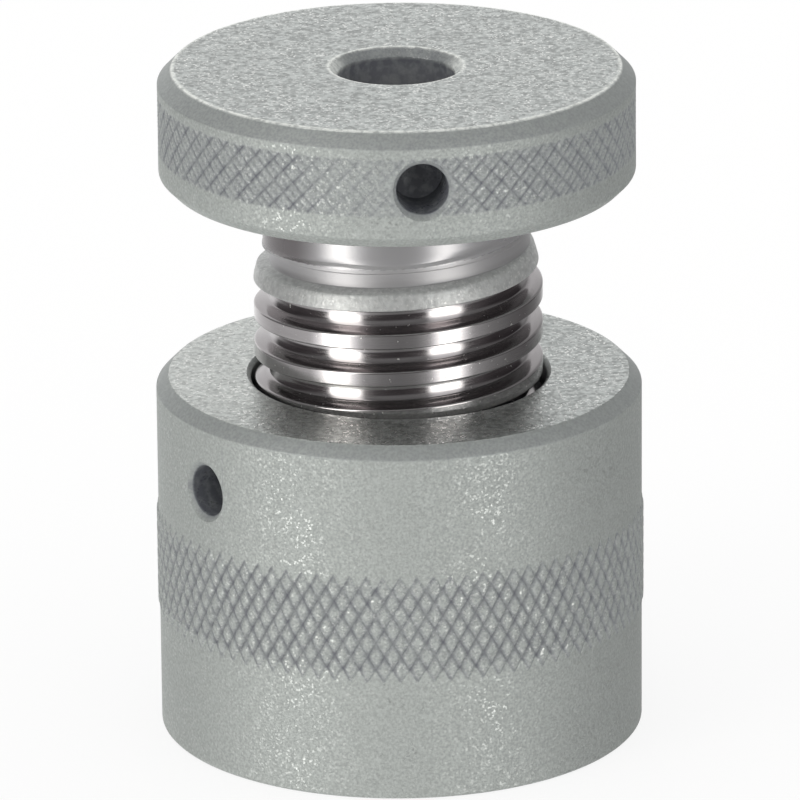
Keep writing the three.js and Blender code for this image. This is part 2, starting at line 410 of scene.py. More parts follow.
def screw_radius(azimuth, z):
    degrees = np.degrees(azimuth)
    turns = azimuth / TURN
    edge = np.interp(degrees, *zip(*STEP_EDGE))
    share = fade(degrees, *STEP_COMES) * (1 - fade(degrees, *STEP_GOES))
    past_crest = z - PITCH * turns - (FRONT_CREST + CREST_EDGE)
    share = share * fade(past_crest, *STEP_CLEARS_CREST)
    radius = blank_radius(z) - STEP_DEPTH * share * np.clip((edge - z) / STEP_HEIGHT, 0, 1)
    below_last = np.round((LAST_GROOVE + PITCH * turns - z) / PITCH)
    for shift in (-1, 0, 1):
        count = np.maximum(below_last + shift, 0)
        distance = z - LAST_GROOVE - PITCH * (turns - count)
        retreat = fade(turns - count, *RUNOUT) * (NECK_RADIUS - ROOT_RADIUS + EDGE_BLEND)
        tilt = ROOT_TILT * np.clip((ROOT_TILT_REACH - distance) / (2 * ROOT_TILT_REACH), 0, 1)
        groove = groove_radius(distance, ROOT_RADIUS + retreat + tilt)
        blend = EDGE_BLEND * (1 - SHARPER * fade(distance, *SHARPER_OVER) * (count == 0))
        radius = smooth_min(radius, groove, blend)
    return radius


def nut_radius(azimuth, z):
    height = (z - FRONT_CREST - PITCH * azimuth / TURN) / PITCH
    distance = np.abs(height - np.round(height)) * PITCH
    flank = SCREW_RADIUS - (distance - NUT_EDGES[0]) / FLANK_SLOPE
    groove = smooth_min(np.full_like(flank, NUT_GROOVE_RADIUS), flank, EDGE_BLEND)
    return smooth_max(np.full_like(flank, NUT_RADIUS), groove, EDGE_BLEND)


def knurl_cell(azimuth, z, knurl):
    """How far a point is from the rising and the falling groove, and its diamond's row."""
    across = knurl["count"] * (azimuth + math.pi) / TURN
    along = (z - knurl["low"]) / knurl["pitch"]
    falling, rising = across + along, across - along
    row = np.floor(falling + 1e-6) - np.floor(rising + 1e-6)
    return np.abs(rising - np.round(rising)), np.abs(falling - np.round(falling)), row


def in_diamonds(row, knurl):
    """Whether a row of knurl_cell is one of diamonds, not of the half ones beyond them."""
    return (row > 0.5) & (row < 2 * knurl["rows"] - 0.5)


def base_knurl_radius(azimuth, z):
    rising, falling, row = knurl_cell(azimuth, z, BASE_KNURL)
    slow = np.interp(rising, *zip(*SLOW_RISE))
    quick = np.interp(falling, *zip(*QUICK_RISE))
    height = np.where(in_diamonds(row, BASE_KNURL), DIAMOND_HEIGHT * slow * quick, 0)
    return BASE_RADIUS + height - SCORE_DEPTH * (rising < SCORE_HALF_WIDTH)


def head_tracks(azimuth, z):
    """How much of a groove of the rising and of the falling set is at a point. The tool ran twice
    round the head, half a diamond apart: fainter in the rising set on the left, and in the
    falling set on the right."""
    rising, falling, _ = knurl_cell(azimuth, z, HEAD_KNURL)
    degrees = np.degrees(azimuth)
    right = fade(degrees, *TRACKS_SWAP) * (1 - fade(degrees, *TRACKS_SWAP_BACK))
    swing = (STRONG_TRACK - FAINT_TRACK) * right
    worn = fade(np.abs(degrees - WORN_AZIMUTH) / WORN_SPREAD, WORN_CORE, 1)
    shares = []
    for distance, track in ((rising, FAINT_TRACK + swing), (falling, STRONG_TRACK - swing)):
        first = np.clip(1 - distance / GROOVE_HALF_WIDTH, 0, 1)
        second = np.clip(1 - (0.5 - distance) / GROOVE_HALF_WIDTH, 0, 1)
        left_over = WORN_SHARE + (1 - WORN_SHARE) * worn
        shares.append(np.maximum(first, track * second) * left_over)
    return shares


def head_knurl_radius(azimuth, z):
    low, top = HEAD_KNURL["low"], HEAD_KNURL["top"]
    share = fade(z, low, low + GROOVE_RUNOUT) * (1 - fade(z, top - GROOVE_RUNOUT, top))
    rising, falling = head_tracks(azimuth, z)
    return HEAD_RADIUS - share * np.maximum(GROOVE_DEPTHS[0] * rising, GROOVE_DEPTHS[1] * falling)


# ---- pieces


def drill(surface_radius, z, azimuth_degrees):
    """The cutter of one tommy bar hole."""
    skin = Skin()
    outline = [
        (0, -TOMMY_DEPTH - TOMMY_RADIUS * DRILL_POINT_SLOPE),
        (TOMMY_RADIUS, -TOMMY_DEPTH),
        (TOMMY_RADIUS, -TOMMY_CHAMFER),
        (TOMMY_RADIUS + TOMMY_CHAMFER + 1, 1),
    ]
    edge = rounded(outline[1:], POCKET_CORNER)
    last = skin.turn([outline[0], *edge], HOLE_COLUMNS)
    skin.join(last, skin.pole(1))
    cutter = add_object("cutter", skin.mesh("cutter"))
    turned = Matrix.Rotation(math.radians(azimuth_degrees), 4, "Z")
    lying = Matrix.Rotation(math.pi / 2, 4, "X")
    out = Matrix.Translation((0, 0, surface_radius * MM))
    cutter.matrix_world = Matrix.Translation((0, 0, z * MM)) @ turned @ lying @ out
    return cutter


def combine(piece, others, operation):
    """Joins the others to the piece or cuts them out of it, and removes them."""
    for other in others:
        modifier = piece.modifiers.new(operation, "BOOLEAN")
        modifier.operation = operation
        modifier.solver = "MANIFOLD"
        modifier.object = other
    bpy.context.view_layer.update()
    shown = piece.evaluated_get(bpy.context.evaluated_depsgraph_get())
    mesh = bpy.data.meshes.new_from_object(shown)
    piece.modifiers.clear()
    piece.data = mesh
    for other in others:
        bpy.data.objects.remove(other)


def make_base():
    skin = Skin()
    ends = (COUNTERBORE_TOP, NECK_BORE_FLOOR)
    rows = thread_rows(*ends, NUT_EDGES)
    low, high = skin.thread(nut_radius, *ends, BORE_COLUMNS, rows, inside=True)
    pocket = rounded(
        [
            (NUT_GROOVE_RADIUS + 0.4, COUNTERBORE_TOP),
            (COUNTERBORE_RADIUS, COUNTERBORE_TOP),
            (COUNTERBORE_RADIUS, COUNTERBORE_CHAMFER),
            (COUNTERBORE_RADIUS + COUNTERBORE_CHAMFER, 0),
            (BASE_RADIUS - 3, 0),
        ],
        POCKET_CORNER,
    )
    foot = skin.turn(pocket, BORE_COLUMNS, low)
    outside = rounded(
        [
            (BASE_RADIUS - 2, 0),
            (BASE_RADIUS - BASE_FOOT_CHAMFER, 0),
            (BASE_RADIUS, BASE_FOOT_CHAMFER),
            (BASE_RADIUS, BASE_KNURL["low"] - 1),
        ],
        WALL_CORNER,
    )
    wall = skin.turn(outside, BASE_KNURL["columns"], foot)
    band = skin.band(wall, BASE_KNURL, base_knurl_radius)
    shoulder = rounded(
        [
            (BASE_RADIUS, BASE_KNURL["top"] + 1),
            (BASE_RADIUS, BASE_TOP - BASE_TOP_CHAMFER),
            (BASE_RADIUS - BASE_TOP_CHAMFER, BASE_TOP),
            (BASE_RADIUS - 2 * BASE_TOP_CHAMFER, BASE_TOP),
        ],
        WALL_CORNER,
    )
    top = skin.turn(shoulder, BASE_KNURL["columns"], band)
    mouth = rounded(
        [
            (NECK_BORE_RADIUS + 1, BASE_TOP),
            (NECK_BORE_RADIUS + NECK_BORE_CHAMFER, BASE_TOP),
            (NECK_BORE_RADIUS, BASE_TOP - NECK_BORE_CHAMFER),
            (NECK_BORE_RADIUS, BASE_TOP - NECK_BORE_CHAMFER - 2 * BURR),
            (NECK_BORE_RADIUS, NECK_BORE_FLOOR),
            (NECK_BORE_RADIUS - 0.1, NECK_BORE_FLOOR),
        ],
        FINE_CORNER,
    )
    inner = skin.turn(mouth, BORE_COLUMNS, top)
    skin.join(inner, high)
    base = add_object("base_body_skin", skin.mesh("base_body_skin"))
    cutters = [drill(BASE_RADIUS, BASE_TOMMY_Z, azimuth) for azimuth in BASE_TOMMY_AZIMUTHS]
    combine(base, cutters, "DIFFERENCE")
    return base


def make_spindle():
    skin = Skin()
    journal = rounded(
        [
            (1, SPINDLE_END),
            (JOURNAL_RADIUS - JOURNAL_CHAMFER, SPINDLE_END),
            (JOURNAL_RADIUS, SPINDLE_END + JOURNAL_CHAMFER),
            (JOURNAL_RADIUS, RING_GROOVE[0]),
            (RING_GROOVE_RADIUS, RING_GROOVE[0]),
            (RING_GROOVE_RADIUS, RING_GROOVE[1]),
            (JOURNAL_RADIUS, RING_GROOVE[1]),
            (JOURNAL_RADIUS, THREAD_END),
            (JOURNAL_RADIUS + 0.3, THREAD_END),
        ],
        FINE_CORNER,
    )
    end = skin.turn([(0, SPINDLE_END), *journal], THREAD_COLUMNS)
    rows = thread_rows(THREAD_END, HEAD_UNDERSIDE, (CREST_EDGE, ROOT_EDGE), NECK_ROWS)
    low, high = skin.thread(screw_radius, THREAD_END, HEAD_UNDERSIDE - 1, THREAD_COLUMNS, rows)
    skin.join(end, low)
    underside = rounded(
        [
            (NECK_RADIUS, HEAD_UNDERSIDE - 0.9),
            (NECK_RADIUS, HEAD_UNDERSIDE),
            (NECK_RADIUS + 3, HEAD_UNDERSIDE),
        ],
        NECK_CORNER,
    )
    under = skin.turn(underside, THREAD_COLUMNS, high)
    rim = rounded(
        [
            (HEAD_RADIUS - 2 * HEAD_FOOT_CHAMFER, HEAD_UNDERSIDE),
            (HEAD_RADIUS - HEAD_FOOT_CHAMFER, HEAD_UNDERSIDE),
            (HEAD_RADIUS, HEAD_UNDERSIDE + HEAD_FOOT_CHAMFER),
            (HEAD_RADIUS, HEAD_KNURL["low"] - 0.5),
        ],
        SOFT_CORNER,
    )
    wall = skin.turn(rim, HEAD_KNURL["columns"], under)
    band = skin.band(wall, HEAD_KNURL, head_knurl_radius)
    shoulder = rounded(
        [
            (HEAD_RADIUS, HEAD_KNURL["top"] + 0.1),
            (HEAD_RADIUS, HEAD_TOP - HEAD_TOP_CHAMFER),
            (HEAD_FACE_RADIUS + BURR, HEAD_TOP - BURR),
            (HEAD_FACE_RADIUS, HEAD_TOP),
            (HEAD_FACE_RADIUS - 2 * BURR, HEAD_TOP),
        ],
        FINE_CORNER,
    )
    top = skin.turn(shoulder, HEAD_KNURL["columns"], band)
    bore_floor = HEAD_TOP - SEAT_BORE_DEPTH
    bore = rounded(
        [
            (SEAT_BORE_RIM + 2 * BURR, HEAD_TOP),
            (SEAT_BORE_RIM, HEAD_TOP),
            (SEAT_BORE_RIM - BURR, HEAD_TOP - BURR),
            (SEAT_BORE_RADIUS, HEAD_TOP - SEAT_BORE_CHAMFER),
            (SEAT_BORE_RADIUS, HEAD_TOP - SEAT_BORE_CHAMFER - 2 * BURR),
            (SEAT_BORE_RADIUS, bore_floor),
            (0.3, bore_floor - (SEAT_BORE_RADIUS - 0.3) * DRILL_POINT_SLOPE),
        ],
        FINE_CORNER,
    )
    bottom = skin.turn(bore, HOLE_COLUMNS * 2, top)
    skin.join(bottom, skin.pole(bore_floor - SEAT_BORE_RADIUS * DRILL_POINT_SLOPE))
    spindle = add_object("spindle_skin", skin.mesh("spindle_skin"))
    cutters = [drill(HEAD_RADIUS, HEAD_TOMMY_Z, azimuth) for azimuth in HEAD_TOMMY_AZIMUTHS]
    combine(spindle, cutters, "DIFFERENCE")
    return spindle


def flat_ring(name, inner, outer, low, high, corner, columns):
    """A flat ring with rounded edges."""
    middle = (low + high) / 2
    outline = [(inner, middle), (inner, low), (outer, low), (outer, high), (inner, high)]
    points = rounded([*outline, (inner, middle + corner / 10)], corner)
    skin = Skin()
    first = skin.ring(*points[0], columns)
    last = skin.turn(points[1:], columns, first)
    skin.join(last, first)
    return add_object(name, skin.mesh(name))


def make_washer():
    low, high = WASHER_BOX[0].z, WASHER_BOX[1].z
    inner, outer = JOURNAL_RADIUS + WASHER_GAP, WASHER_BOX[1].x
    return flat_ring("stop_washer_skin", inner, outer, low, high, SOFT_CORNER, WASHER_COLUMNS)


def make_retaining_ring():
    """An open spring ring whose gap, between two pierced lugs, faces the back."""
    low, high = RING_BOX[0].z, RING_BOX[1].z
    ring = flat_ring("retaining_ring_skin", *RING_RADII, low, high, WALL_CORNER, RING_COLUMNS)
    gap_half_width = RING_RADII[1] * math.tan(RING_HALF_GAP_ANGLE)
    mesh = bpy.data.meshes.new("gap")
    corners = [
        (side * gap_half_width * MM * scale, scale * RING_RADII[1] * MM, z * MM)
        for z in (low - 1, high + 1)
        for scale in (0.5, 1.5)
        for side in (-1, 1)
    ]
    sides = [(0, 2, 3, 1), (4, 5, 7, 6), (0, 1, 5, 4), (2, 6, 7, 3), (0, 4, 6, 2), (1, 3, 7, 5)]
    mesh.from_pydata(corners, [], sides)
    combine(ring, [add_object("gap", mesh)], "DIFFERENCE")
    lugs, punches = [], []
    for side in (-1, 1):
        turned = side * (RING_HALF_GAP_ANGLE + LUG_RADIUS / LUG_CENTRE_RADIUS)
        place = Matrix.Rotation(turned, 4, "Z") @ Matrix.Translation((0, LUG_CENTRE_RADIUS * MM, 0))
        for radius, margin, group in ((LUG_RADIUS, 0, lugs), (LUG_HOLE_RADIUS, 1, punches)):
            foot, top = low - margin, high + margin
            outline = [(radius / 2, foot), (radius, foot), (radius, top), (radius / 2, top)]
            skin = Skin()
            last = skin.turn(rounded(outline, WALL_CORNER), HOLE_COLUMNS, skin.pole(foot))
            skin.join(last, skin.pole(top))
            disc = add_object("disc", skin.mesh("disc"))
            disc.matrix_world = place
            group.append(disc)
    combine(ring, lugs, "UNION")
    combine(ring, punches, "DIFFERENCE")
    return ring


# ---- finish


SHARP_ANGLE = math.radians(35)


def shade(piece, material):
    mesh = piece.data
    mesh.materials.clear()
    mesh.materials.append(material)
    mesh.polygons.foreach_set("use_smooth", np.ones(len(mesh.polygons), bool))
    mesh.polygons.foreach_set("material_index", np.zeros(len(mesh.polygons), np.int32))
    mesh.set_sharp_from_angle(angle=SHARP_ANGLE)
    mesh.update()
    modifier = piece.modifiers.new("normals", "WEIGHTED_NORMAL")
    modifier.mode = "FACE_AREA"
    modifier.weight = 50
    modifier.keep_sharp = True


def paint(piece, name, values):
    """Gives each vertex a value that the material reads by this name."""
    attribute = piece.data.attributes.new(name, "FLOAT", "POINT")
    attribute.data.foreach_set("value", values.astype(np.float32))


def places(piece):
    """Radius, azimuth and height of each vertex."""
    flat = np.zeros(len(piece.data.vertices) * 3)
    piece.data.vertices.foreach_get("co", flat)
    x, y, z = flat.reshape(-1, 3).T / MM
    return np.hypot(x, y), np.arctan2(x, -y), z


class Nodes:
    """Shader nodes by short calls."""

    def __init__(self, tree):
        self.tree = tree
        tree.nodes.clear()

    def add(self, kind, inputs=None, **settings):
        """A node with these settings. Inputs that are sockets are linked, and others are set."""
        node = self.tree.nodes.new(kind)
        for key, value in settings.items():
            setattr(node, key, value)
        for key, value in (inputs or {}).items():
            if isinstance(value, bpy.types.NodeSocket):
                self.tree.links.new(value, node.inputs[key])
            else:
                node.inputs[key].default_value = value
        return node

    def math(self, operation, *values):
        return self.add("ShaderNodeMath", dict(enumerate(values)), operation=operation).outputs[0]

    def times(self, one, two):
        return self.math("MULTIPLY", one, two)

    def ramp(self, value, low, high, to_low=0.0, to_high=1.0):
        """value from low..high onto to_low..to_high, with level ends."""
        inputs = {0: value, 1: low, 2: high, 3: to_low, 4: to_high}
        node = self.add("ShaderNodeMapRange", inputs, interpolation_type="SMOOTHSTEP")
        return node.outputs[0]

    def noise(self, vector, scale, detail, roughness=0.5):
        inputs = {"Vector": vector, "Scale": scale, "Detail": detail, "Roughness": roughness}
        return self.add("ShaderNodeTexNoise", inputs).outputs["Fac"]

    def bump(self, height, relief, **more):
        return self.add("ShaderNodeBump", {"Height": height, **relief, **more}).outputs["Normal"]

    def mix_color(self, factor, one, two):
        node = self.add("ShaderNodeMix", {0: factor, 6: one, 7: two}, data_type="RGBA")
        return node.outputs[2]

    def attribute(self, name):
        return self.add("ShaderNodeAttribute", attribute_name=name).outputs["Fac"]


DARK_STEEL = (0.185, 0.197, 0.192, 1)
LIGHT_STEEL = (0.705, 0.74, 0.722, 1)
FACET_STEEL = (0.87, 0.88, 0.85, 1)
# Colour of bare worn edges, and of painted light on the base's top and on the bore's chamfer
WEAR_AND_SHEEN_STEEL = (0.85, 0.87, 0.83, 1)
# Colour of painted shade on the thread's flanks and on the neck's left
PAINTED_SHADE_STEEL = (0.15, 0.135, 0.14, 1)
# Colour of grime, and of painted shade in grooves, holes, bores and chamfers
GRIME_AND_SHADE_STEEL = (0.109, 0.114, 0.131, 1)
NECK_STEEL = (0.44, 0.435, 0.445, 1)
ROLLED_STEEL = (0.66, 0.64, 0.64, 1)
ROLLED_STREAK = (0.53, 0.5, 0.51, 1)
WASHER_STEEL = ((0.5, 0.49, 0.47, 1), (0.66, 0.65, 0.63, 1))
PHOSPHATE = ((0.08, 0.078, 0.075, 1), (0.16, 0.155, 0.15, 1))
RUBBED_PHOSPHATE = (0.34, 0.33, 0.31, 1)

# Patterns of noise: their scale per metre, their detail and, where it isn't 0.5, their roughness
DIMPLES = (1600.0, 1.5)
FINE_GRAIN = (3600.0, 1.0)
PATCHES = (180.0, 1.0)
BREAKS = (1800.0, 1.0)
BLOTCHES = (1100.0, 2.0)
SPECKS = (2600.0, 1.0)
STREAKS = (6500.0, 2.0, 0.6)
TOOL_RINGS = (5500.0, 2.0, 0.6)
MOTTLING = (400.0, 3.0)
CRYSTALS = (5000.0, 3.0, 0.6)
RUBBING = (350.0, 4.0, 0.65)
# Scale per metre of the cells, of which some are shiny facets
FACET_SCALE = 5200.0
# The streaks' pattern moves on this much slower along the thread than across it.
STREAK_PACE = 0.03

# Relief of each kind of surface. Distances are in metres.
BLASTED_RELIEF = {"Strength": 0.5, "Distance": 0.00009}
ROLLED_RELIEF = {"Strength": 0.1, "Distance": 0.000004}
TURNED_RELIEF = {"Strength": 0.4, "Distance": 0.00002}
SPRING_RELIEF = {"Strength": 0.35, "Distance": 0.00002}


def steel(name, shaded):
    """A metal material whose colour, roughness and bump come from shaded(nodes, place)."""
    material = bpy.data.materials.new(name)
    material.use_nodes = True
    nodes = Nodes(material.node_tree)
    place = nodes.add("ShaderNodeTexCoord").outputs["Object"]
    inputs = {"Metallic": 1.0, **shaded(nodes, place)}
    surface = nodes.add("ShaderNodeBsdfPrincipled", inputs)
    nodes.add("ShaderNodeOutputMaterial", {"Surface": surface.outputs[0]})
    return material


def blasted(nodes, place):
    """Bead-blasted steel. Its painted attributes: grain is how deep the dimples are, rough is the
    roughness, matte is the share of light the pitted skin scatters, grime_and_shade is dull grime
    in knurling grooves together with painted shade in grooves, holes, bores and chamfers, and
    wear_and_sheen is bare metal on edges together with painted light on some faces. The neck,
    where neck is 1, has no shiny facets."""
    grain = nodes.attribute("grain")
    dimples = nodes.noise(place, *DIMPLES)
    fine = nodes.noise(place, *FINE_GRAIN)
    # Facets are single shiny cells, and there are more of them in some patches.
    cells = nodes.add("ShaderNodeTexVoronoi", {"Vector": place, "Scale": FACET_SCALE})
    chance = nodes.add("ShaderNodeSeparateColor", {0: cells.outputs["Color"]}).outputs[0]
    patches = nodes.ramp(nodes.noise(place, *PATCHES), 0.3, 0.7, 0.5, 1.0)
    facet = nodes.times(nodes.ramp(chance, 0.8, 0.98), patches)
    # The colour swings with the grain, and shallow grain is finer than deep grain.
    pits = nodes.ramp(grain, 0.3, 0.9, fine, dimples)
    swing = nodes.math("SUBTRACT", nodes.ramp(pits, 0.25, 0.75), 0.5)
    swing = nodes.times(swing, nodes.ramp(grain, 0.2, 1.0, 0.2, 0.62))
    colour = nodes.mix_color(nodes.math("ADD", 0.5, swing), DARK_STEEL, LIGHT_STEEL)
    # Facets are also painted lighter, a painted glint.
    bright = nodes.times(facet, nodes.ramp(grain, 0.2, 1.0, 0.0, 1.0))
    colour = nodes.mix_color(bright, colour, FACET_STEEL)
    breaks = nodes.ramp(nodes.noise(place, *BREAKS), 0.35, 0.6, 0.35, 1.0)
    wear_and_sheen = nodes.times(nodes.attribute("wear_and_sheen"), breaks)
    colour = nodes.mix_color(wear_and_sheen, colour, WEAR_AND_SHEEN_STEEL)
    blotches = nodes.ramp(nodes.noise(place, *BLOTCHES), 0.3, 0.7, 0.75, 1.2)
    grime_and_shade = nodes.times(nodes.attribute("grime_and_shade"), blotches)
    grime_and_shade = nodes.math("MINIMUM", grime_and_shade, 1.0)
    colour = nodes.mix_color(grime_and_shade, colour, GRIME_AND_SHADE_STEEL)
    # Facets are smoother than the rest.
    shiny = nodes.times(facet, nodes.ramp(grain, 0.1, 0.24, 0.0, 0.56))
    shiny = nodes.times(shiny, nodes.math("SUBTRACT", 1.0, nodes.attribute("neck")))
    rough = nodes.times(nodes.attribute("rough"), nodes.math("SUBTRACT", 1.0, shiny))
    height = nodes.math("ADD", dimples, nodes.times(fine, 0.5))
    height = nodes.math("ADD", height, nodes.times(cells.outputs["Distance"], 0.3))
    height = nodes.times(height, grain)
    bump = nodes.bump(height, BLASTED_RELIEF)
    # Grime with painted shade, and the scattering skin, aren't metallic.
    bare = nodes.math("SUBTRACT", 1.0, nodes.attribute("matte"))
    metal = nodes.times(bare, nodes.math("SUBTRACT", 1.0, grime_and_shade))
    return {"Base Color": colour, "Roughness": rough, "Normal": bump, "Metallic": metal}


def blasted_and_rolled(nodes, place):
    """The spindle: blasted above, plain and smooth where neck is 1, and rolled bright along the
    thread where polish is 1. Painted shade darkens the last two."""
    upper = blasted(nodes, place)
    polish = nodes.attribute("polish")
    painted_shade = nodes.attribute("painted_shade")
    # Streaks of rolling follow the thread.
    parts = nodes.add("ShaderNodeSeparateXYZ", {0: place}).outputs
    turned = nodes.math("ARCTAN2", parts[0], nodes.times(parts[1], -1.0))
    climb = nodes.times(turned, PITCH * MM / TURN)
    across = nodes.math("SUBTRACT", parts[2], climb)
    along = nodes.times(turned, SCREW_RADIUS * MM * STREAK_PACE)
    streak_place = nodes.add("ShaderNodeCombineXYZ", {0: along, 1: 0.0, 2: across}).outputs[0]
    streaks = nodes.noise(streak_place, *STREAKS)
    specks = nodes.ramp(nodes.noise(place, *SPECKS), 0.74, 0.78)
    rolled = nodes.mix_color(streaks, ROLLED_STEEL, ROLLED_STREAK)
    rolled = nodes.mix_color(specks, rolled, FACET_STEEL)
    rolled = nodes.mix_color(painted_shade, rolled, PAINTED_SHADE_STEEL)
    neck = nodes.mix_color(painted_shade, NECK_STEEL, PAINTED_SHADE_STEEL)
    colour = nodes.mix_color(nodes.attribute("neck"), upper["Base Color"], neck)
    colour = nodes.mix_color(polish, colour, rolled)
    smooth = nodes.ramp(streaks, 0.3, 0.75, 0.12, 0.2)
    smooth = nodes.math("ADD", smooth, nodes.times(specks, 0.4))
    rough = nodes.ramp(polish, 0.0, 1.0, upper["Roughness"], smooth)
    metal = nodes.ramp(polish, 0.0, 1.0, upper["Metallic"], 1.0)
    height = nodes.times(streaks, polish)
    bump = nodes.bump(height, ROLLED_RELIEF, Normal=upper["Normal"])
    return {"Base Color": colour, "Roughness": rough, "Normal": bump, "Metallic": metal}


def turned_steel(nodes, place):
    """Fine rings left by the turning tool, on flat faces and on walls."""
    parts = nodes.add("ShaderNodeSeparateXYZ", {0: place}).outputs
    squares = [nodes.times(parts[k], parts[k]) for k in (0, 1)]
    radius = nodes.math("SQRT", nodes.math("ADD", *squares))
    rings_place = nodes.add("ShaderNodeCombineXYZ", {0: radius, 1: 0.0, 2: parts[2]}).outputs[0]
    rings = nodes.noise(rings_place, *TOOL_RINGS)
    colour = nodes.mix_color(nodes.noise(place, *MOTTLING), *WASHER_STEEL)
    rough = nodes.ramp(rings, 0.25, 0.75, 0.24, 0.42)
    bump = nodes.bump(rings, TURNED_RELIEF)
    return {"Base Color": colour, "Roughness": rough, "Normal": bump}


def spring_steel(nodes, place):
    """Dark phosphated sheet, rubbed a little brighter here and there."""
    crystals = nodes.noise(place, *CRYSTALS)
    rubbed = nodes.ramp(nodes.noise(place, *RUBBING), 0.55, 0.75, 0.0, 0.6)
    colour = nodes.mix_color(crystals, *PHOSPHATE)
    colour = nodes.mix_color(rubbed, colour, RUBBED_PHOSPHATE)
    rough = nodes.ramp(rubbed, 0.0, 0.6, 0.52, 0.34)
    bump = nodes.bump(crystals, SPRING_RELIEF)
    return {"Base Color": colour, "Roughness": rough, "Normal": bump}


# ---- assembly

# How each region looks. A region changes only what it names.
SIDE = {"rough": 0.76, "grain": 0.3, "grime_and_shade": 0.0, "wear_and_sheen": 0.0, "neck": 0.0, "matte": 0.22}
TOP_FACE = {"rough": 0.36, "grain": 1.0, "matte": 0.0}
# Chamfers are darkened with painted shade.
CHAMFER = {"rough": 0.55, "grain": 0.06, "grime_and_shade": 0.25}
NECK = {"rough": 0.25, "grain": 0.06, "neck": 1.0, "matte": 0.33}
GROOVE = {"rough": 0.42, "grain": 0.12, "matte": 0.26}
FIRST_CREST = {"rough": 0.42, "grain": 0.8, "neck": 0.5, "wear_and_sheen": 0.3, "matte": 0.42}
POLISHED = {"grain": 0.0}
WORN_EDGE = {"rough": 0.5, "grain": 1.0, "wear_and_sheen": 1.0, "matte": 0.6}
# Walls and chamfers of holes and bores are darkened with painted shade.
HOLE_WALL = {"rough": 0.5, "grain": 0.3, "grime_and_shade": 0.95}
HOLE_CHAMFER = {"rough": 0.55, "grain": 0.06, "grime_and_shade": 0.45}
SEAT_BORE_WALL = {"rough": 0.6, "grain": 0.2, "grime_and_shade": 0.9}
MOUTH_WALL = {"rough": 0.6, "grain": 0.1, "grime_and_shade": 0.7}
MOUTH_CHAMFER = {"rough": 0.5, "grain": 0.3, "grime_and_shade": 0.0}
EDGE_REACH = 0.18
# Slack when vertices are told apart by their place: on a level face, and along slopes and walls
TOUCH = 0.02
MARGIN = 0.05
# A tommy hole's chamfer is painted from this depth on, and its wall from a little above their edge.
RIM_DEPTH = 0.18
WALL_OVERLAP = 0.1
# A knurled band is painted from this far inside its ends.
BASE_BAND_INSET = 0.2
HEAD_BAND_INSET = 0.3
# Grime with painted shade along the rising and the falling grooves of a band, and a little all over
# it
BASE_GRIME_AND_SHADE = (0.65, 0.65)
BASE_GRIME_AND_SHADE_HALF_WIDTH = 0.26
HEAD_GRIME_AND_SHADE = (0.75, 0.65)
GRIME_AND_SHADE_BETWEEN = 0.1
# Above these heights, counted from the lower edge of the first crest, the thread isn't polished.
POLISH_ENDS = (-0.06, 0.0)
# In degrees: where the blasted stretch of thread comes to its end behind the jack, and where the
# painted shade on the neck's left comes and goes
BLASTING_COMES_DOWN = (112, 176)
LEFT_NECK_SHADE_COMES = (-175, -115)
LEFT_NECK_SHADE_GOES = (-50, -30)
LEFT_NECK_SHADE = 0.85
# Painted shade on the flank just above each crest: how much, and the heights over which it comes and
# goes
FLANK_SHADE = 0.6
FLANK_SHADE_COMES = (-0.05, 0.1)
FLANK_SHADE_GOES = (0.6, 1.2)


def groove_grime_and_shade(rising, falling, darkening):
    """Grime with painted shade along the two sets of knurling grooves, with a little between them.
    """
    return 1 - (1 - GRIME_AND_SHADE_BETWEEN) * (1 - darkening[0] * rising) * (1 - darkening[1] * falling)


def paint_regions(piece, regions):
    """Paints the attributes of SIDE, then those of each (where, look) region over them."""
    for name, start in SIDE.items():
        values = np.full(len(piece.data.vertices), start)
        for where, look in regions:
            if name in look:
                values = np.where(where, look[name], values)
        paint(piece, name, values)


def in_holes(piece, surface_radius, z, azimuths):
    """Which vertices are on the wall and which on the chamfer of a tommy hole."""
    radius, azimuth, height = places(piece)
    wall = np.zeros(len(radius), bool)
    cone = np.zeros(len(radius), bool)
    for centre in np.radians(azimuths):
        across = radius * np.sin(azimuth - centre)
        off_axis = np.hypot(across, height - z)
        depth = surface_radius - radius * np.cos(azimuth - centre)
        front = np.cos(azimuth - centre) > 0
        wall |= front & (off_axis < TOMMY_RADIUS + MARGIN) & (depth > TOMMY_CHAMFER - WALL_OVERLAP)
        cone |= front & (off_axis < TOMMY_RADIUS + TOMMY_CHAMFER + TOUCH) & (depth > RIM_DEPTH)
    near = radius > surface_radius - 1.5 * TOMMY_DEPTH
    return wall & near, cone & near & ~wall


def on_edge(radius, z, edge_radius, edge_z):
    return np.hypot(radius - edge_radius, z - edge_z) < EDGE_REACH


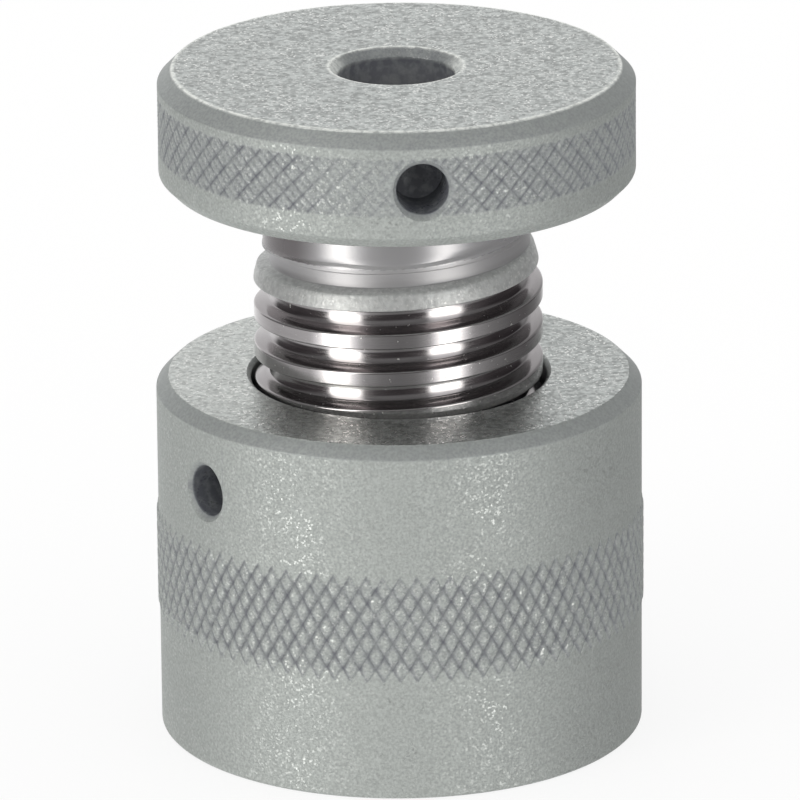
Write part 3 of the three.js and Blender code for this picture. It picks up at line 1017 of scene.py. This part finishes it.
def paint_base(piece):
    radius, azimuth, z = places(piece)
    outside = radius > BASE_RADIUS - BASE_TOP_CHAMFER
    hole_wall, hole_chamfer = in_holes(piece, BASE_RADIUS, BASE_TOMMY_Z, BASE_TOMMY_AZIMUTHS)
    rising, falling, row = knurl_cell(azimuth, z, BASE_KNURL)
    low, top = BASE_KNURL["low"] + BASE_BAND_INSET, BASE_KNURL["top"] - BASE_BAND_INSET
    in_band = outside & (z > low) & (z < top) & in_diamonds(row, BASE_KNURL)
    grooves = (np.clip(1 - distance / BASE_GRIME_AND_SHADE_HALF_WIDTH, 0, 1) for distance in (rising, falling))
    # The base's top is painted a little brighter on the left, a painted sheen.
    top_face = {**TOP_FACE, "matte": 0.12, "wear_and_sheen": 0.35 * fade(-np.sin(azimuth), -0.2, 0.9)}
    chamfer = outside & (z > BASE_TOP - BASE_TOP_CHAMFER - MARGIN) & (z < BASE_TOP - MARGIN)
    mouth = radius < NECK_BORE_RADIUS + NECK_BORE_CHAMFER - TOUCH
    inside = (radius < NECK_BORE_RADIUS + MARGIN) & (z < BASE_TOP - NECK_BORE_CHAMFER - BURR)
    regions = [
        (z > BASE_TOP - TOUCH, top_face),
        (chamfer, CHAMFER),
        (in_band, {"grain": 0.5, "grime_and_shade": groove_grime_and_shade(*grooves, BASE_GRIME_AND_SHADE)}),
        (mouth, MOUTH_CHAMFER),
        (inside, MOUTH_WALL),
        (hole_chamfer, HOLE_CHAMFER),
        (hole_wall, HOLE_WALL),
    ]
    paint_regions(piece, regions)


def paint_spindle(piece):
    radius, azimuth, z = places(piece)
    degrees = np.degrees(azimuth)
    # Height above the lower edge of the first crest. It is followed up the helix, and the edge of
    # the blasting leaves it at the right to come down again round the back.
    above = z - PITCH * azimuth / TURN - (FRONT_CREST - CREST_EDGE)
    above_blasting = above + PITCH * fade(degrees, *BLASTING_COMES_DOWN)
    polish = 1 - fade(above_blasting, *POLISH_ENDS)
    below_head = z < HEAD_UNDERSIDE - TOUCH
    outside = radius > HEAD_FACE_RADIUS
    chamfer = outside & (z > HEAD_TOP - HEAD_TOP_CHAMFER - MARGIN) & (z < HEAD_TOP - MARGIN)
    low, top = HEAD_KNURL["low"] + HEAD_BAND_INSET, HEAD_KNURL["top"] - HEAD_BAND_INSET
    in_band = (radius > HEAD_RADIUS - HEAD_BAND_INSET) & (z > low) & (z < top)
    grime_and_shade = groove_grime_and_shade(*head_tracks(azimuth, z), HEAD_GRIME_AND_SHADE)
    hole_wall, hole_chamfer = in_holes(piece, HEAD_RADIUS, HEAD_TOMMY_Z, HEAD_TOMMY_AZIMUTHS)
    bore = radius < SEAT_BORE_RIM - MARGIN
    bore &= z > HEAD_TOP - SEAT_BORE_DEPTH - SEAT_BORE_RADIUS
    bore_wall = bore & (z < HEAD_TOP - SEAT_BORE_CHAMFER - BURR)
    # The bore's chamfer is painted lighter on its left and right, a painted highlight, and darker in
    # front and behind, painted shade.
    at_side = fade(np.abs(np.sin(azimuth)), 0.75, 1)
    bore_rim = {"rough": 0.5, "grain": 0.5, "wear_and_sheen": 0.6 * at_side, "matte": 0.2 + 0.5 * at_side}
    bore_rim["grime_and_shade"] = 0.5 * (1 - at_side)
    regions = [
        (z > HEAD_TOP - TOUCH, TOP_FACE),
        (chamfer, CHAMFER),
        (in_band, {"grain": 0.5, "grime_and_shade": grime_and_shade}),
        (below_head, NECK),
        (below_head & (above_blasting < PITCH), GROOVE),
        (below_head & (above_blasting < CREST_WIDTH + EDGE_BLEND), FIRST_CREST),
        (below_head & (above_blasting < TOUCH), POLISHED),
        (bore, bore_rim),
        (bore_wall, SEAT_BORE_WALL),
        (hole_chamfer, HOLE_CHAMFER),
        (hole_wall, HOLE_WALL),
        (on_edge(radius, z, HEAD_FACE_RADIUS, HEAD_TOP), WORN_EDGE),
        (on_edge(radius, z, SEAT_BORE_RIM, HEAD_TOP), WORN_EDGE),
    ]
    paint_regions(piece, regions)
    paint(piece, "polish", np.where(below_head, polish, 0))
    # Height above the upper edge of the crest below
    up_flank = (above - CREST_WIDTH) % PITCH
    # The flank above each crest and the neck's left get painted shade.
    flank_shade = fade(up_flank, *FLANK_SHADE_COMES) * (1 - fade(up_flank, *FLANK_SHADE_GOES))
    left_shade = fade(degrees, *LEFT_NECK_SHADE_COMES) * (1 - fade(degrees, *LEFT_NECK_SHADE_GOES))
    neck_shade = np.where(above_blasting > PITCH, LEFT_NECK_SHADE * left_shade, 0)
    paint(piece, "painted_shade", np.where(polish > 0.5, FLANK_SHADE * flank_shade, neck_shade))


base = make_base()
paint_base(base)
shade(base, steel("blasted_steel_base", blasted))
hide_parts("base_body")
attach(base, "base")

spindle = make_spindle()
paint_spindle(spindle)
shade(spindle, steel("blasted_steel_spindle", blasted_and_rolled))
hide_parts("spindle")
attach(spindle, "spindle")

washer = make_washer()
shade(washer, steel("washer_steel", turned_steel))
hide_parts("stop_washer")
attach(washer, "washer")

ring = make_retaining_ring()
shade(ring, steel("spring_steel", spring_steel))
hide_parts("retaining_ring")
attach(ring, "spindle")

# ---- floor, light and camera


# In metres. The floor lies a hair below the foot, and most of its white is its own glow.
FLOOR_HALF_WIDTH = 3
FLOOR_DROP = 0.00002
FLOOR_GLOW = 0.8


def make_floor():
    mesh = bpy.data.meshes.new("floor")
    half = FLOOR_HALF_WIDTH
    corners = [(-half, -half, 0), (half, -half, 0), (half, half, 0), (-half, half, 0)]
    mesh.from_pydata(corners, [], [(0, 1, 2, 3)])
    floor = add_object("floor", mesh)
    floor.location.z = -FLOOR_DROP
    material = bpy.data.materials.new("floor")
    material.use_nodes = True
    nodes = Nodes(material.node_tree)
    paper = nodes.add("ShaderNodeBsdfDiffuse", {"Color": (0.95, 0.95, 0.95, 1)})
    glow = nodes.add("ShaderNodeEmission", {"Color": (1, 1, 1, 1), "Strength": 1.0})
    mix = {0: FLOOR_GLOW, 1: paper.outputs[0], 2: glow.outputs[0]}
    surface = nodes.add("ShaderNodeMixShader", mix)
    nodes.add("ShaderNodeOutputMaterial", {"Surface": surface.outputs[0]})
    mesh.materials.append(material)
    floor.visible_glossy = False
    floor.visible_shadow = False


# How bright the studio is round the jack, as the metal mirrors it, at azimuths in degrees: a white
# wall behind, a dark room in front and two soft boxes. The first list is the light that the table
# throws up from below the horizon, the second is the room at the horizon, and the third is the
# room above it, where both boxes are weaker and the dark is less deep.
TABLE = (
    (-180, 1.25), (-160, 0.95), (-138, 0.7), (-115, 0.52), (-90, 0.56), (-74, 0.6), (-64, 1.5),
    (-57, 4.0), (-46, 4.0), (-38, 1.4), (-28, 0.4), (-14, 0.24), (0, 0.19), (14, 0.22), (25, 0.45),
    (33, 2.0), (37, 3.2), (46, 3.2), (53, 1.3), (61, 0.4), (78, 0.24), (100, 0.15), (120, 0.12),
    (140, 0.2), (155, 0.36), (168, 0.7), (180, 1.25),
)
ROOM = (
    (-180, 1.02), (-146, 1.0), (-139, 0.6), (-134, 0.1), (-100, 0.045), (-66, 0.06), (-61, 4.0),
    (-38, 4.0), (-33, 0.12), (-20, 0.05), (0, 0.035), (24, 0.06), (29, 3.2), (53, 3.2), (58, 0.1),
    (90, 0.035), (132, 0.045), (137, 0.3), (150, 0.36), (158, 0.6), (166, 0.95), (180, 1.02),
)
UPPER_ROOM = (
    (-180, 0.93), (-146, 0.93), (-139, 0.6), (-134, 0.25), (-66, 0.22), (-61, 2.6), (-38, 2.6),
    (-33, 0.22), (24, 0.22), (29, 1.2), (53, 1.2), (58, 0.22), (132, 0.22), (137, 0.3), (150, 0.36),
    (158, 0.6), (166, 0.86), (180, 0.93),
)
# How much of the table's light is used, and the light from straight above and from straight below
TABLE_SHARE = 0.94
CEILING = 0.14
BELOW = 0.45
# Colour ramps hold brightness in shares of this.
PEAK = 4.0
# The elevations in degrees over which the parts of the studio pass into each other
BELOW_ENDS = (-68.0, -48.0)
TABLE_ENDS = (-14.0, -6.0)
UPPER_ROOM_STARTS = (7.0, 14.0)
CEILING_STARTS = (45.0, 70.0)
# Colours of the darkest and the brightest light, and the strengths over which they turn white
DARK_TINT = (1, 0.88, 0.93, 1)
DARK_TINT_ENDS = (0.04, 0.16)
BOX_TINT = (1, 0.985, 0.945, 1)
BOX_TINT_STARTS = (1.1, 2.5)
WHITE = (1, 1, 1, 1)


def make_world():
    world = bpy.data.worlds.new("studio")
    bpy.context.scene.world = world
    world.use_nodes = True
    nodes = Nodes(world.node_tree)
    direction = nodes.add("ShaderNodeTexCoord").outputs["Generated"]
    parts = nodes.add("ShaderNodeSeparateXYZ", {0: direction}).outputs
    azimuth = nodes.math("ARCTAN2", parts[0], nodes.times(parts[1], -1.0))
    elevation = nodes.times(nodes.math("ARCSINE", parts[2]), 180 / math.pi)
    turned = nodes.math("ADD", nodes.math("DIVIDE", azimuth, TURN), 0.5)

    def around(profile, share=1):
        """The brightness that the profile has at the ray's azimuth, or this share of it."""
        ramp = nodes.add("ShaderNodeValToRGB", {0: turned})
        stops = ramp.color_ramp.elements
        while len(stops) < len(profile):
            stops.new(0.5)
        for stop, (degrees, brightness) in zip(stops, profile):
            stop.position = degrees / 360 + 0.5
            stop.color = (*[share * brightness / PEAK] * 3, 1)
        return nodes.times(ramp.outputs["Color"], PEAK)

    total = nodes.ramp(elevation, *TABLE_ENDS, around(TABLE, TABLE_SHARE), around(ROOM))
    total = nodes.ramp(elevation, *UPPER_ROOM_STARTS, total, around(UPPER_ROOM))
    total = nodes.ramp(elevation, *CEILING_STARTS, total, CEILING)
    total = nodes.ramp(elevation, *BELOW_ENDS, BELOW, total)
    # The camera and the scattering surfaces see a plain white studio.
    rays = nodes.add("ShaderNodeLightPath").outputs
    plain = nodes.math("MAXIMUM", rays["Is Camera Ray"], rays["Is Diffuse Ray"])
    strength = nodes.ramp(plain, 0.0, 1.0, total, 1.0)
    tint = nodes.mix_color(nodes.ramp(strength, *DARK_TINT_ENDS), DARK_TINT, WHITE)
    tint = nodes.mix_color(nodes.ramp(strength, *BOX_TINT_STARTS), tint, BOX_TINT)
    glow = nodes.add("ShaderNodeBackground", {"Color": tint, "Strength": strength})
    nodes.add("ShaderNodeOutputWorld", {"Surface": glow.outputs[0]})


# The camera fits the photo's outlines. Lens and sensor are in millimetres, and places in metres.
CAMERA_LENS = 398.8
CAMERA_SENSOR = 36
CAMERA_DISTANCE = 0.91359
CAMERA_ELEVATION = math.radians(18.795)
CAMERA_ROLL = math.radians(0.512)
CAMERA_TARGET = Vector((0.00008, 0, 0.03442))


def make_camera():
    data = bpy.data.cameras.new("camera")
    data.lens = CAMERA_LENS
    data.sensor_width = CAMERA_SENSOR
    camera = add_object("camera", data)
    back = Vector((0, -math.cos(CAMERA_ELEVATION), math.sin(CAMERA_ELEVATION)))
    place = Matrix.Translation(CAMERA_TARGET + back * CAMERA_DISTANCE)
    looking = Matrix.Rotation(math.pi / 2 - CAMERA_ELEVATION, 4, "X")
    rolled = Matrix.Rotation(-CAMERA_ROLL, 4, "Z")
    camera.matrix_world = place @ looking @ rolled
    bpy.context.scene.camera = camera


make_floor()
make_world()
make_camera()
bpy.context.scene.view_settings.view_transform = "Standard"
